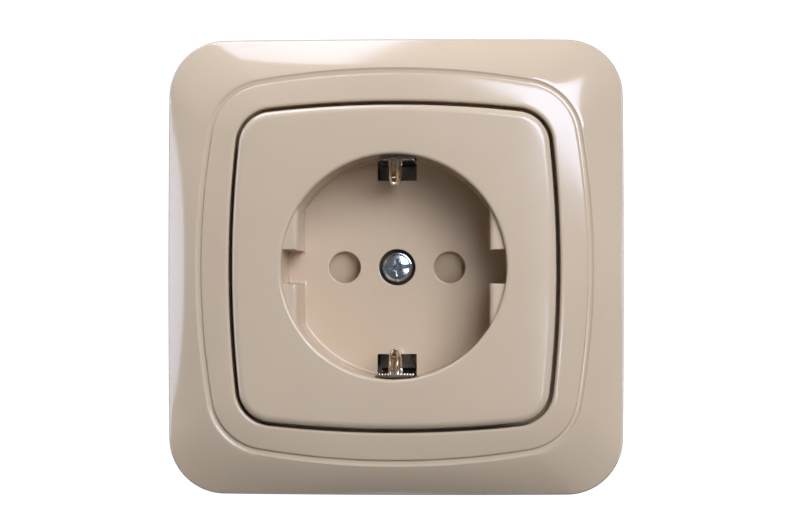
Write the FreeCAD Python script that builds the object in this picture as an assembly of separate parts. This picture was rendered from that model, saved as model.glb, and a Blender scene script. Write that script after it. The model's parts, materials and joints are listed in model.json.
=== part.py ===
"""Flush-mounted earthed socket outlet: decorative frame, centre plate and the mechanism behind them.

X runs to the right as seen from the room, Y runs into the wall and Z is up. The origin is the
middle of the outlet on the wall's surface. All sizes are in millimetres.
"""

import FreeCAD, Part
import math
import os

os.makedirs("parts", exist_ok=True)

# Decorative frame
FRAME_HALF = 40.5
FRAME_CORNER = 10.0
FRAME_STRAIGHT = 3000.0  # side radius that reads as a straight side
FRAME_EDGE_HEIGHT = 2.0
FRAME_WALL = 1.8
BAND_START_IN = 0.75  # how far in the rounded outer edge ends
BAND_START_HEIGHT = 3.3
GROOVE_HALF = 34.5
GROOVE_SIDE_RADIUS = 143.0
GROOVE_CORNER = 10.5
GROOVE_WIDTH = 1.1
GROOVE_FLOOR = 7.25
GROOVE_OUTER_HEIGHT = 7.45
GROOVE_INNER_HEIGHT = 7.75
OPENING_EDGE_HEIGHT = 8.6
EDGE_ROUND = 0.5
LEDGE_FRONT = 3.2
LEDGE_BACK = 1.2
LEDGE_HALF = 26.6
COLLAR_WALL = 1.5
WEB_OFFSET = 17.0  # stiffening webs, either side of each side's middle
WEB_HALF = 0.5

# Centre plate and its well
PLATE_HALF = 28.4
PLATE_GAP = 0.7
PLATE_SIDE_RADIUS = 200.0
PLATE_CORNER = 6.0
PLATE_FRONT = 10.2
PLATE_WALL = 1.6
PLATE_BACK = LEDGE_FRONT + 0.15
WELL_RADIUS = 19.75
WELL_WALL = 1.5
FLOOR = 6.5
FLOOR_THICK = 1.3
FLOOR_BACK = FLOOR + FLOOR_THICK
SKIRT_END = 15.0
SHOULDER_X = 16.8
SHOULDER_TOP = -9.0
KEYWAY_WIDTH = 5.8
WINDOW_WIDTH = 7.1
WINDOW_INNER = 15.7
WINDOW_FRONT = -7.6
WELL_MOUTH_ROUND = 0.6
RIB_OFFSET = 14.0
RIB_HALF = 0.5

# Plug interface
PIN_SPACING = 19.0
PIN_HOLE_RADIUS = 2.825
PIN_HOLE_RIM = 3.05
PIN_HOLE_RIM_DEPTH = 0.25

# Screws, all M3
SCREW_HEAD_HEIGHT = 2.0
SCREW_HEAD_RADIUS = 2.75
SCREW_HEAD_FRONT = 6.95
SCREW_HEAD_BACK = 8.85
SCREW_TIP = 20.5
M3_RADIUS = 1.5
M3_THREAD_HOLE = 1.52
COUNTERBORE_RADIUS = 3.275
BOSS_RADIUS = 4.4
BOSS_END = 10.6
DRIVE_TILT = 6.7  # degrees the screw slot rests off level

# Shutter behind the well floor
SHUTTER_FRONT = 8.2
SHUTTER_BACK = 12.6
SHUTTER_TRAVEL = 6.0
SHUTTER_TOP = 8.0
SHUTTER_WING_IN = 5.6
SHUTTER_WING_OUT = 13.4
RAMP_TOP = 3.3
RAMP_BOTTOM = -3.6
LUG_TOP = -2.4
SPRING_X = 15.8
SPRING_Y = 10.5
SPRING_TOP = 9.5
SPRING_RADIUS = 1.05
SPRING_WIRE = 0.2
SPRING_TURNS = 9
RETAINER_FRONT = 13.0
RETAINER_BACK = 14.2
RETAINER_RADIUS = 19.4
PEG_X = 9.0
PEG_Z = 15.6
PEG_RADIUS = 1.1
PEG_HEAD_RADIUS = 1.6
STOP_REACH = (14.9, 19.0)
RETAINER_WINDOW = 4.4
RETAINER_WINDOW_FROM = 14.4
LUG_FRONT = 8.8
BRIDGE_HALF = 6.0
BRIDGE_LOW = 5.2

# Support plate and base
SUPPORT_HALF = 35.5
SUPPORT_CORNER = 6.0
SUPPORT_THICK = 1.0
SUPPORT_OPENING = 22.0
BOX_SCREW_SPACING = 60.0
BOX_SLOT_LENGTH = 6.4
BOX_SLOT_RADIUS = 1.7
BASE_FRONT = 16.0
BASE_BACK = 31.0
BASE_HALF_X = 20.5
BASE_HALF_Z = 21.5
BASE_RADIUS = 26.5
POST_INNER = 21.9
POST_FROM = 13.5
RIVET_HOLE_END = 8.0
LATCH_NOTCH = (33.2, 22.0, 26.0)  # across, then low and high along the side
RIVET_AT = 17.3
RIVET_RADIUS = 1.3

# Contacts and terminals
STRAP_THICK = 1.0
STRAP_HALF_X = 3.6
STRAP_HALF_Z = 21.3
STRAP_BACK = BASE_FRONT + STRAP_THICK
STRAP_EAR_HALF = 4.6
STRAP_EAR_FROM = 18.2
STRAP_SLOT_HALF = 3.3
STRAP_SLOT = (18.6, 20.4)
BUS_FRONT = 25.5
BUS_BACK = 26.5
POCKET_FLOOR = 27.0
LIVE_POCKET_X = (5.5, 18.6)
LIVE_POCKET_Z = 10.7
EARTH_POCKET_X = 11.3
EARTH_POCKET_Z = (-17.9, -11.9)
LIVE_TERMINAL = (15.4, 7.0)
EARTH_TERMINAL = (7.6, -14.9)
TULIP_INNER = 2.25
TULIP_OUTER = 3.05
TULIP_FRONT = 17.2
TULIP_SLIT_HALF = 0.4
BAR_X = (12.4, 18.4)
BAR_HALF_Z = 10.5
TERMINAL_HEAD = 2.6
CLAMP_FRONT = 22.6
CLAMP_BACK = 23.6
CLAMP_LONG = 3.4
CLAMP_SHORT = 2.7
WIRE_OFFSET = 2.4
WIRE_ENTRY_RADIUS = 1.25
WIRE_ENTRY_Y = 24.55
TERMINAL_SCREW_TIP = 27.6
TERMINAL_SHAFT_END = 29.8

# Earth side contacts
EARTH_LEAF_HALF = 3.0
EARTH_LEAF_INNER = 19.0
EARTH_LEAF_OUTER = 19.8
EARTH_NOSE_RADIUS = 14.5
EARTH_NOSE_WIDTH = 2.4
EARTH_NOSE_SHEET = 0.5
EARTH_FRONT = -7.2
EARTH_BOW_END = 5.0
EARTH_LEAF_BACK = 18.3
EARTH_HEEL_HALF = 3.9
EARTH_HEEL_FROM = 17.4
EARTH_BEAD_RADIUS = 0.55
EARTH_BEAD_Y = 16.5

# Claws
CLAW_SCREW = (23.8, -5.5)
CLAW_HEAD_RADIUS = 2.5
CLAW_SCREW_TIP = 24.0
CLAW_PIVOT = (25.0, 3.0)
CLAW_STUB_RADIUS = 0.8
CLAW_LUG_HOLE = 0.85
CLAW_HALF_WIDTH = 2.5
CLAW_FORK_GAP = 1.8
CLAW_EAR_THICK = 0.8
CLAW_TOOTH_PITCH = 1.25
CLAW_SCREW_TILT = 25.0
NUT_SIDE = 5.0
NUT_FRONT = 20.5
NUT_BACK = 22.5

PIN_SIDES = (-1, 1)
FAR = 60.0


def at(x, y, z):
    return FreeCAD.Vector(x, y, z)


def block(x0, x1, y0, y1, z0, z1):
    """A box between two corners, given in any order."""
    size = (abs(x1 - x0), abs(y1 - y0), abs(z1 - z0))
    return Part.makeBox(*size, at(min(x0, x1), min(y0, y1), min(z0, z1)))


def rod(radius, y0, y1, x=0.0, z=0.0):
    """A round rod along Y."""
    return Part.makeCylinder(radius, y1 - y0, at(x, y0, z), at(0, 1, 0))


def taper(radius0, radius1, y0, y1, x=0.0, z=0.0):
    """A round taper along Y."""
    return Part.makeCone(radius0, radius1, y1 - y0, at(x, y0, z), at(0, 1, 0))


def pillow(half, side_radius, corner_radius, y):
    """A square outline whose four bowed sides run tangent into round corners."""
    side_centre = half - side_radius
    reach = side_radius - corner_radius
    corner = (side_centre + math.sqrt(2 * reach**2 - side_centre**2)) / 2
    length = math.hypot(corner, corner - side_centre)
    tangent_x = side_radius * corner / length
    tangent_z = side_centre + side_radius * (corner - side_centre) / length
    middle = corner + corner_radius * math.sqrt(0.5)
    arcs = []
    for quarter in range(4):
        turn = FreeCAD.Rotation(at(0, 1, 0), 90 * quarter)
        side = [(-tangent_x, tangent_z), (0, half), (tangent_x, tangent_z)]
        bend = [(tangent_x, tangent_z), (middle, middle), (tangent_z, tangent_x)]
        for points in (side, bend):
            ends = [turn.multVec(at(x, y, z)) for x, z in points]
            arcs.append(Part.Arc(*ends).toShape())
    return Part.Wire(arcs)


def slab(half, side_radius, corner_radius, y0, y1):
    """A pillow outline filled between two depths."""
    face = Part.Face(pillow(half, side_radius, corner_radius, y0))
    return face.extrude(at(0, y1 - y0, 0))


def stack(sections):
    """A solid through pillow sections, each given as (half, side radius, corner radius, y)."""
    return Part.makeLoft([pillow(*s) for s in sections], True, True)


def prism_x(points, x0, x1):
    """A polygon of (y, z) points extruded along X."""
    loop = [at(x0, y, z) for y, z in points]
    face = Part.Face(Part.makePolygon(loop + loop[:1]))
    return face.extrude(at(x1 - x0, 0, 0))


def prism_z(points, z0, z1):
    """A polygon of (x, y) points extruded along Z."""
    loop = [at(x, y, z0) for x, y in points]
    face = Part.Face(Part.makePolygon(loop + loop[:1]))
    return face.extrude(at(0, 0, z1 - z0))


def turned(shape, degrees):
    """A copy turned about the Y axis through the origin."""
    copy = shape.copy()
    copy.rotate(at(0, 0, 0), at(0, 1, 0), degrees)
    return copy


def save(name, shape):
    shape = shape.removeSplitter() if len(shape.Solids) == 1 else shape
    shape.exportStep(f"parts/{name}.step")


def blend_pillow(share):
    """Outline sizes part of the way from the frame's outer edge to the groove."""
    start = FRAME_HALF - BAND_START_IN
    end = GROOVE_HALF + GROOVE_WIDTH / 2
    half = start + (end - start) * share
    bow = (1 - share) / FRAME_STRAIGHT + share / GROOVE_SIDE_RADIUS
    corner = FRAME_CORNER - BAND_START_IN
    corner += (GROOVE_CORNER + GROOVE_WIDTH / 2 - corner) * share
    return half, 1 / bow, corner


def frame_front():
    """The frame's closed outer form: edge, sloping convex band, then the flatter inner band."""
    sections = [(FRAME_HALF, FRAME_STRAIGHT, FRAME_CORNER, 0.0)]
    drop = BAND_START_HEIGHT - FRAME_EDGE_HEIGHT
    for degrees in (0, 30, 60):
        inward = BAND_START_IN * (1 - math.cos(math.radians(degrees)))
        height = FRAME_EDGE_HEIGHT + drop * math.sin(math.radians(degrees))
        sections.append((FRAME_HALF - inward, FRAME_STRAIGHT, FRAME_CORNER - inward, -height))
    bands = 4
    for step in range(bands + 1):
        share = step / bands
        rise = GROOVE_OUTER_HEIGHT - BAND_START_HEIGHT
        height = BAND_START_HEIGHT + rise * (share + 0.35 * share * (1 - share))
        sections.append((*blend_pillow(share), -height))
    inner_edge = GROOVE_HALF - GROOVE_WIDTH / 2
    inner_corner = GROOVE_CORNER - GROOVE_WIDTH / 2
    sections.append((inner_edge, GROOVE_SIDE_RADIUS, inner_corner, -GROOVE_INNER_HEIGHT))
    opening = PLATE_HALF + PLATE_GAP
    rim = opening + EDGE_ROUND
    rim_corner = PLATE_CORNER + PLATE_GAP + EDGE_ROUND
    sections.append((rim, PLATE_SIDE_RADIUS, rim_corner, -OPENING_EDGE_HEIGHT))
    return stack(sections)


def frame_hollow():
    """The space behind the frame's bands, outside the collar round the opening."""
    inner = FRAME_HALF - FRAME_WALL
    sections = [
        (inner, FRAME_STRAIGHT, FRAME_CORNER - FRAME_WALL, 0.0),
        (inner, FRAME_STRAIGHT, FRAME_CORNER - FRAME_WALL, -1.6),
        (inner - 1.4, FRAME_STRAIGHT, FRAME_CORNER - FRAME_WALL, -3.0),
        (33.4, GROOVE_SIDE_RADIUS, GROOVE_CORNER - FRAME_WALL, -5.5),
        (31.6, PLATE_SIDE_RADIUS, PLATE_CORNER + 2.0, -6.3),
    ]
    collar_half = PLATE_HALF + PLATE_GAP + COLLAR_WALL
    collar = slab(collar_half, PLATE_SIDE_RADIUS, PLATE_CORNER + 2.0, 1.0, -FAR)
    webs = []
    for quarter in range(4):
        for offset in (-WEB_OFFSET, WEB_OFFSET):
            web = block(offset - WEB_HALF, offset + WEB_HALF, -LEDGE_BACK, -FAR, 0.0, FAR)
            webs.append(turned(web, 90 * quarter))
    return stack(sections).cut(collar).cut(webs[0].multiFuse(webs[1:]))


def decor_frame():
    opening = PLATE_HALF + PLATE_GAP
    corner = PLATE_CORNER + PLATE_GAP
    groove_outer = GROOVE_HALF + GROOVE_WIDTH / 2
    groove_inner = GROOVE_HALF - GROOVE_WIDTH / 2
    cut_outer = slab(
        groove_outer, GROOVE_SIDE_RADIUS, GROOVE_CORNER + GROOVE_WIDTH / 2, -GROOVE_FLOOR, -9.0
    )
    cut_inner = slab(
        groove_inner, GROOVE_SIDE_RADIUS, GROOVE_CORNER - GROOVE_WIDTH / 2, -GROOVE_FLOOR, -9.0
    )
    flare = stack(
        [
            (opening, PLATE_SIDE_RADIUS, corner, EDGE_ROUND - OPENING_EDGE_HEIGHT),
            (opening + 0.15, PLATE_SIDE_RADIUS, corner + 0.15, 0.15 - OPENING_EDGE_HEIGHT),
            (opening + 1.5, PLATE_SIDE_RADIUS, corner + 1.5, -OPENING_EDGE_HEIGHT - 0.25),
        ]
    )
    cuts = [
        frame_hollow(),
        cut_outer.cut(cut_inner),
        flare,
        slab(opening, PLATE_SIDE_RADIUS, corner, -LEDGE_FRONT, -FAR),
        slab(LEDGE_HALF, PLATE_SIDE_RADIUS, PLATE_CORNER - 1.8, 1.0, -FAR),
        slab(FRAME_HALF - FRAME_WALL - 0.5, FRAME_STRAIGHT, FRAME_CORNER, 1.0, -LEDGE_BACK),
    ]
    return frame_front().cut(cuts)


def well_blocks():
    """The two solid shoulders at the well's sides, each split by the plug's keyway."""
    disc = rod(WELL_RADIUS + 0.2, SHOULDER_TOP, FLOOR + 0.1)
    solid = []
    for side in PIN_SIDES:
        half = disc.common(block(side * SHOULDER_X, side * FAR, -FAR, FAR, -FAR, FAR))
        slot = block(side * SHOULDER_X, side * FAR, -FAR, FLOOR, -KEYWAY_WIDTH / 2, KEYWAY_WIDTH / 2)
        solid.append(half.cut(slot.cut(rod(FAR, -FAR, FAR).cut(rod(WELL_RADIUS, -FAR, FAR)))))
    return solid


def centre_plate():
    outer = WELL_RADIUS + WELL_WALL
    face = stack(
        [
            (PLATE_HALF, PLATE_SIDE_RADIUS, PLATE_CORNER, -PLATE_BACK),
            (PLATE_HALF, PLATE_SIDE_RADIUS, PLATE_CORNER, -8.7),
            (PLATE_HALF - 0.2, PLATE_SIDE_RADIUS, PLATE_CORNER - 0.2, -9.3),
            (PLATE_HALF - 0.65, PLATE_SIDE_RADIUS, PLATE_CORNER - 0.65, -9.75),
            (PLATE_HALF - 1.4, PLATE_SIDE_RADIUS, PLATE_CORNER - 1.4, -9.95),
            (outer + 2.0, PLATE_SIDE_RADIUS, outer + 0.5, -PLATE_FRONT),
        ]
    )
    hollow = slab(PLATE_HALF - PLATE_WALL, PLATE_SIDE_RADIUS, PLATE_CORNER - PLATE_WALL, 0, -8.3)
    ribs = []
    for quarter in range(4):
        for offset in (-RIB_OFFSET, RIB_OFFSET):
            rib = block(offset - RIB_HALF, offset + RIB_HALF, -4.6, -9.0, RIB_OFFSET, 27.5)
            ribs.append(turned(rib, 90 * quarter))
    body = face.cut(hollow).multiFuse([rod(outer, -9.0, SKIRT_END), *ribs])
    body = body.cut([rod(WELL_RADIUS, -FAR, FLOOR), rod(WELL_RADIUS, FLOOR_BACK, FAR)])
    pegs = [
        rod(PEG_RADIUS, FLOOR_BACK - 0.1, RETAINER_BACK + 0.1, x, z)
        for x in (-PEG_X, PEG_X)
        for z in (-PEG_Z, PEG_Z)
    ]
    heads = [
        rod(PEG_HEAD_RADIUS, RETAINER_BACK, RETAINER_BACK + 0.6, x, z)
        for x in (-PEG_X, PEG_X)
        for z in (-PEG_Z, PEG_Z)
    ]
    near, far = STOP_REACH
    stops = [
        block(side * near, side * far, FLOOR_BACK - 0.1, SHUTTER_BACK, SPRING_TOP, SPRING_TOP + 1.2)
        for side in PIN_SIDES
    ]
    boss = rod(BOSS_RADIUS, FLOOR + 0.1, BOSS_END)
    body = body.multiFuse([*well_blocks(), *pegs, *heads, *stops, boss])
    cuts = [
        rod(COUNTERBORE_RADIUS, -FAR, SCREW_HEAD_BACK + 0.1),
        rod(M3_RADIUS + 0.1, -FAR, FAR),
    ]
    for side in PIN_SIDES:
        x = side * PIN_SPACING / 2
        cuts.append(rod(PIN_HOLE_RADIUS, -FAR, FAR, x))
        cuts.append(taper(PIN_HOLE_RIM, PIN_HOLE_RADIUS, FLOOR, FLOOR + PIN_HOLE_RIM_DEPTH, x))
        half = WINDOW_WIDTH / 2
        cuts.append(block(-half, half, WINDOW_FRONT, FAR, side * WINDOW_INNER, side * 23.0))
    mouth = WELL_RADIUS + WELL_MOUTH_ROUND
    cuts.append(taper(mouth, WELL_RADIUS, -PLATE_FRONT, WELL_MOUTH_ROUND - PLATE_FRONT))
    return body.cut(cuts)


def cross_slot(tilt, y0, y1, x=0.0, z=0.0, length=5.0, width=0.9):
    """A combined slot and cross drive recess."""
    slot = block(-length / 2, length / 2, y0, y1, -width / 2, width / 2)
    arm = block(-width / 2, width / 2, y0, y1 + 0.5, -1.6, 1.6)
    side_arm = block(-1.6, 1.6, y0, y1 + 0.5, -width / 2, width / 2)
    recess = turned(slot.multiFuse([arm, side_arm]), -tilt)
    recess.translate(at(x, 0, z))
    return recess


def drive_screw(head_radius, head_front, head_back, tip, tilt, x=0.0, z=0.0):
    """A machine screw along Y with a chamfered pan head; its thread is a plain rod."""
    chamfer = 0.4
    head = rod(head_radius, head_front + chamfer, head_back, x, z)
    crown = taper(head_radius - chamfer, head_radius, head_front, head_front + chamfer, x, z)
    shank = rod(M3_RADIUS, head_back - 0.1, tip - 0.5, x, z)
    point = taper(M3_RADIUS, M3_RADIUS - 0.5, tip - 0.5, tip, x, z)
    recess = cross_slot(tilt, head_front - 1.0, head_front + 0.8, x, z, 2.2 * head_radius)
    return head.multiFuse([crown, shank, point]).cut(recess)


def shutter():
    profile = [
        (SHUTTER_FRONT, SHUTTER_TOP),
        (SHUTTER_BACK, SHUTTER_TOP),
        (SHUTTER_BACK, RAMP_BOTTOM),
        (SHUTTER_BACK - 0.7, RAMP_BOTTOM),
        (SHUTTER_FRONT, RAMP_TOP),
    ]
    pieces = []
    for side in PIN_SIDES:
        pieces.append(prism_x(profile, side * SHUTTER_WING_IN, side * SHUTTER_WING_OUT))
        lug_end = side * (SPRING_X + 1.5)
        lug_start = side * (SHUTTER_WING_OUT - 0.4)
        pieces.append(block(lug_start, lug_end, LUG_FRONT, SHUTTER_BACK, RAMP_BOTTOM, LUG_TOP))
    bridge = block(-BRIDGE_HALF, BRIDGE_HALF, SHUTTER_FRONT, SHUTTER_BACK, BRIDGE_LOW, SHUTTER_TOP)
    return bridge.multiFuse(pieces)


def shutter_spring(side):
    """A compression spring between the shutter's lug and the stop under the well floor."""
    low = LUG_TOP + SPRING_WIRE + 0.05
    height = SPRING_TOP - SPRING_WIRE - 0.05 - low
    helix = Part.makeHelix(height / SPRING_TURNS, height, SPRING_RADIUS)
    circle = Part.makeCircle(SPRING_WIRE, at(SPRING_RADIUS, 0, 0), at(0, 1, 0))
    coil = Part.Wire(helix).makePipeShell([Part.Wire(circle)], True, True)
    coil.translate(at(side * SPRING_X, SPRING_Y, low))
    return coil


def shutter_retainer():
    disc = rod(RETAINER_RADIUS, RETAINER_FRONT, RETAINER_BACK)
    cuts = [rod(2.2, 0, FAR)]
    for side in PIN_SIDES:
        cuts.append(rod(3.3, 0, FAR, side * PIN_SPACING / 2))
        window = block(
            -RETAINER_WINDOW, RETAINER_WINDOW, 0, FAR, side * RETAINER_WINDOW_FROM, side * FAR
        )
        cuts.append(window)
        cuts += [rod(PEG_RADIUS, 0, FAR, side * PEG_X, z) for z in (-PEG_Z, PEG_Z)]
    return disc.cut(cuts)


def box_slot(quarter):
    """A fixing slot for a flush-box screw, its length along the line to the centre."""
    middle = BOX_SCREW_SPACING / 2
    reach = BOX_SLOT_LENGTH / 2 - BOX_SLOT_RADIUS
    ends = [rod(BOX_SLOT_RADIUS, -FAR, FAR, middle + d) for d in (-reach, reach)]
    bar = block(middle - reach, middle + reach, -FAR, FAR, -BOX_SLOT_RADIUS, BOX_SLOT_RADIUS)
    return turned(bar.multiFuse(ends), 90 * quarter)


def claw_lugs():
    """The two folded ears that carry the right-hand claw."""
    x, y = CLAW_PIVOT
    z = CLAW_SCREW[1]
    ears = []
    for way in (-1, 1):
        inner = z + way * (CLAW_HALF_WIDTH + 0.3)
        ear = block(x - 1.3, x + 1.3, -0.2, y + 1.4, inner, inner + way * CLAW_EAR_THICK)
        hole = Part.makeCylinder(CLAW_LUG_HOLE, 2.0, at(x, y, inner - 1.0), at(0, 0, 1))
        ears.append(ear.cut(hole))
    return ears


def support_plate():
    plate = slab(SUPPORT_HALF, FRAME_STRAIGHT, SUPPORT_CORNER, 0, -SUPPORT_THICK)
    ears = []
    for half_turn in (0, 180):
        ears += [turned(ear, half_turn) for ear in claw_lugs()]
    cuts = [rod(SUPPORT_OPENING, -FAR, FAR)]
    cuts += [box_slot(quarter) for quarter in range(4)]
    notch_from, notch_low, notch_high = LATCH_NOTCH
    for side in PIN_SIDES:
        cuts.append(rod(M3_RADIUS + 0.1, -FAR, FAR, side * CLAW_SCREW[0], side * CLAW_SCREW[1]))
        cuts += [rod(RIVET_RADIUS, -FAR, FAR, side * RIVET_AT, z) for z in (-RIVET_AT, RIVET_AT)]
        for end in PIN_SIDES:
            low, high = end * notch_low, end * notch_high
            cuts.append(block(side * notch_from, side * FAR, -FAR, FAR, low, high))
    return plate.multiFuse(ears).cut(cuts)


def base_rivets():
    rivets = []
    for x in (-RIVET_AT, RIVET_AT):
        for z in (-RIVET_AT, RIVET_AT):
            head = taper(1.5, 2.2, -SUPPORT_THICK - 0.8, -SUPPORT_THICK, x, z)
            rivets.append(head.fuse(rod(RIVET_RADIUS, -SUPPORT_THICK - 0.2, RIVET_HOLE_END, x, z)))
    return Part.makeCompound(rivets)


def terminal_places():
    """Every terminal as (name, x, z, wire direction), the earth pair on the strap's wings."""
    live_x, live_z = LIVE_TERMINAL
    earth_x, earth_z = EARTH_TERMINAL
    return [
        ("live_upper", -live_x, live_z, "X"),
        ("live_lower", -live_x, -live_z, "X"),
        ("neutral_upper", live_x, live_z, "X"),
        ("neutral_lower", live_x, -live_z, "X"),
        ("earth_left", -earth_x, earth_z, "Z"),
        ("earth_right", earth_x, earth_z, "Z"),
    ]


def wire_entry(x, z, direction):
    """The round hole that leads a conductor in beside a terminal screw."""
    if direction == "X":
        side = math.copysign(1, x)
        beside = z + math.copysign(WIRE_OFFSET, z)
        start = at(side * (LIVE_POCKET_X[1] - 1.0), WIRE_ENTRY_Y, beside)
        return Part.makeCylinder(WIRE_ENTRY_RADIUS, 6.0, start, at(side, 0, 0))
    start = at(x + math.copysign(WIRE_OFFSET, x), WIRE_ENTRY_Y, EARTH_POCKET_Z[0] + 1.0)
    return Part.makeCylinder(WIRE_ENTRY_RADIUS, 9.0, start, at(0, 0, -1))


def socket_base():
    core = block(-BASE_HALF_X, BASE_HALF_X, 0, BASE_BACK, -BASE_HALF_Z, BASE_HALF_Z)
    barrel = rod(BASE_RADIUS, -1, BASE_BACK - 1.0)
    barrel = barrel.fuse(taper(BASE_RADIUS, BASE_RADIUS - 1.0, BASE_BACK - 1.0, BASE_BACK))
    body = core.common(barrel)
    cuts = [
        rod(POST_INNER, -FAR, BASE_FRONT),
        block(-POST_FROM, POST_FROM, -FAR, BASE_FRONT, -FAR, FAR),
        block(-FAR, FAR, -FAR, BASE_FRONT, -POST_FROM, POST_FROM),
        block(-STRAP_HALF_X - 0.1, STRAP_HALF_X + 0.1, 0, STRAP_BACK, -FAR, FAR),
        rod(3.0, 0, 24.0),
    ]
    low, high = EARTH_POCKET_Z
    cuts.append(block(-EARTH_POCKET_X, EARTH_POCKET_X, 0, POCKET_FLOOR, low, high))
    for side in PIN_SIDES:
        near, far = (side * v for v in LIVE_POCKET_X)
        cuts.append(block(near, far, 0, POCKET_FLOOR, -LIVE_POCKET_Z, LIVE_POCKET_Z))
        cuts.append(block(-5.0, 5.0, 0, 20.0, side * 18.0, side * FAR))
        for z in (-RIVET_AT, RIVET_AT):
            cuts.append(rod(RIVET_RADIUS, -FAR, RIVET_HOLE_END, side * RIVET_AT, z))
        cuts.append(block(side * 19.4, side * FAR, 28.6, 29.6, -12.0, 12.0))
        cuts.append(block(side * 3.0, side * 15.0, BASE_BACK - 0.6, FAR, -13.0, 13.0))
        cuts += [rod(1.8, BASE_BACK - 0.4, FAR, side * 13.0, z) for z in (-16.5, 16.5)]
    for _, x, z, direction in terminal_places():
        cuts.append(rod(M3_RADIUS + 0.4, 0, TERMINAL_SHAFT_END, x, z))
        cuts.append(wire_entry(x, z, direction))
    return body.cut(cuts)


def earth_strap():
    strip = block(-STRAP_HALF_X, STRAP_HALF_X, BASE_FRONT, STRAP_BACK, -STRAP_HALF_Z, STRAP_HALF_Z)
    pieces = [rod(2.6, BASE_FRONT, STRAP_BACK + 3.0)]
    ear = STRAP_EAR_HALF
    wing_low = EARTH_POCKET_Z[0] + 0.2
    wing_high = EARTH_POCKET_Z[1] - 0.2
    wing_in = STRAP_HALF_X - STRAP_THICK
    wing_out = EARTH_POCKET_X - 0.2
    for side in PIN_SIDES:
        pieces.append(
            block(-ear, ear, BASE_FRONT, STRAP_BACK, side * STRAP_EAR_FROM, side * STRAP_HALF_Z)
        )
        pieces.append(
            block(side * wing_in, side * STRAP_HALF_X, BASE_FRONT, BUS_BACK, wing_low, wing_high)
        )
        pieces.append(
            block(side * wing_in, side * wing_out, BUS_FRONT, BUS_BACK, wing_low, wing_high)
        )
    cuts = [rod(M3_THREAD_HOLE, 0, FAR)]
    slot_from, slot_to = STRAP_SLOT
    slot = STRAP_SLOT_HALF
    for side in PIN_SIDES:
        cuts.append(block(-slot, slot, 0, STRAP_BACK + 0.1, side * slot_from, side * slot_to))
        cuts.append(rod(M3_THREAD_HOLE, 22.0, FAR, side * EARTH_TERMINAL[0], EARTH_TERMINAL[1]))
    return strip.multiFuse(pieces).cut(cuts)


def pin_contact(side):
    """A brass contact: a split sleeve that grips the plug's pin, on a bar with two tapped holes."""
    x = side * PIN_SPACING / 2
    near, far = BAR_X
    foot_radius = TULIP_OUTER + 0.25
    slit = TULIP_SLIT_HALF
    bar = block(side * near, side * far, BUS_FRONT, BUS_BACK, -BAR_HALF_Z, BAR_HALF_Z)
    tongue = block(x, side * (near + 0.2), BUS_FRONT, BUS_BACK, -foot_radius, foot_radius)
    foot = rod(foot_radius, BUS_FRONT, BUS_BACK, x)
    sleeve = rod(TULIP_OUTER, TULIP_FRONT, BUS_FRONT + 0.1, x)
    body = bar.multiFuse([tongue, foot, sleeve])
    cuts = [
        rod(TULIP_INNER, 0, BUS_FRONT, x),
        taper(TULIP_OUTER - 0.15, TULIP_INNER, TULIP_FRONT, TULIP_FRONT + 1.0, x),
        block(x - 4.0, x + 4.0, 0, BUS_FRONT - 1.5, -slit, slit),
    ]
    for z in (-LIVE_TERMINAL[1], LIVE_TERMINAL[1]):
        cuts.append(rod(M3_THREAD_HOLE, 0, FAR, side * LIVE_TERMINAL[0], z))
    return body.cut(cuts)


def terminal_clamp(x, z, direction):
    """The loose plate under a terminal screw's head that presses the conductor down."""
    half_x, half_z = CLAMP_SHORT, CLAMP_LONG
    if direction == "Z":
        half_x, half_z = CLAMP_LONG, CLAMP_SHORT
    plate = block(x - half_x, x + half_x, CLAMP_FRONT, CLAMP_BACK, z - half_z, z + half_z)
    return plate.cut(rod(M3_RADIUS + 0.05, 0, FAR, x, z))


def earth_contact(side):
    """A sprung side contact: a flat leaf whose front is folded to a channel bowed into the well.

    The leaf rocks on a rolled bead that sits in the strap's slot.
    """
    edge = EARTH_LEAF_OUTER
    front = at(0, EARTH_FRONT, EARTH_LEAF_INNER)
    nose = at(0, (EARTH_FRONT + EARTH_BOW_END) / 2, EARTH_NOSE_RADIUS)
    back = at(0, EARTH_BOW_END, EARTH_LEAF_INNER)
    bow = Part.Arc(front, nose, back).toShape()
    outside = [at(0, EARTH_BOW_END, edge), at(0, EARTH_FRONT, edge)]
    rim = Part.makePolygon([back, *outside, front])
    crescent = Part.Face(Part.Wire([bow, *rim.Edges]))
    half = EARTH_NOSE_WIDTH / 2
    channel = crescent.extrude(at(EARTH_NOSE_WIDTH, 0, 0))
    channel.translate(at(-half, 0, 0))
    groove = crescent.extrude(at(EARTH_NOSE_WIDTH - 2 * EARTH_NOSE_SHEET, 0, 0))
    groove.translate(at(EARTH_NOSE_SHEET - half, 0, EARTH_NOSE_SHEET))
    leaf = block(-EARTH_LEAF_HALF, EARTH_LEAF_HALF, 1.0, EARTH_LEAF_BACK, EARTH_LEAF_INNER, edge)
    heel = block(
        -EARTH_HEEL_HALF, EARTH_HEEL_HALF, EARTH_HEEL_FROM, EARTH_LEAF_BACK, EARTH_LEAF_INNER, edge
    )
    notches = [
        block(x - 0.2, x + 0.2, 0.9, 1.5, EARTH_LEAF_INNER - 1, edge + 1)
        for x in (-2.6, -1.9, 1.9, 2.6)
    ]
    bead_start = at(-EARTH_LEAF_HALF, EARTH_BEAD_Y, (EARTH_LEAF_INNER + edge) / 2)
    bead_length = 2 * EARTH_LEAF_HALF
    bead = Part.makeCylinder(EARTH_BEAD_RADIUS, bead_length, bead_start, at(1, 0, 0))
    contact = channel.cut(groove).multiFuse([leaf, heel, bead]).cut(notches)
    return contact if side > 0 else turned(contact, 180)


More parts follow.
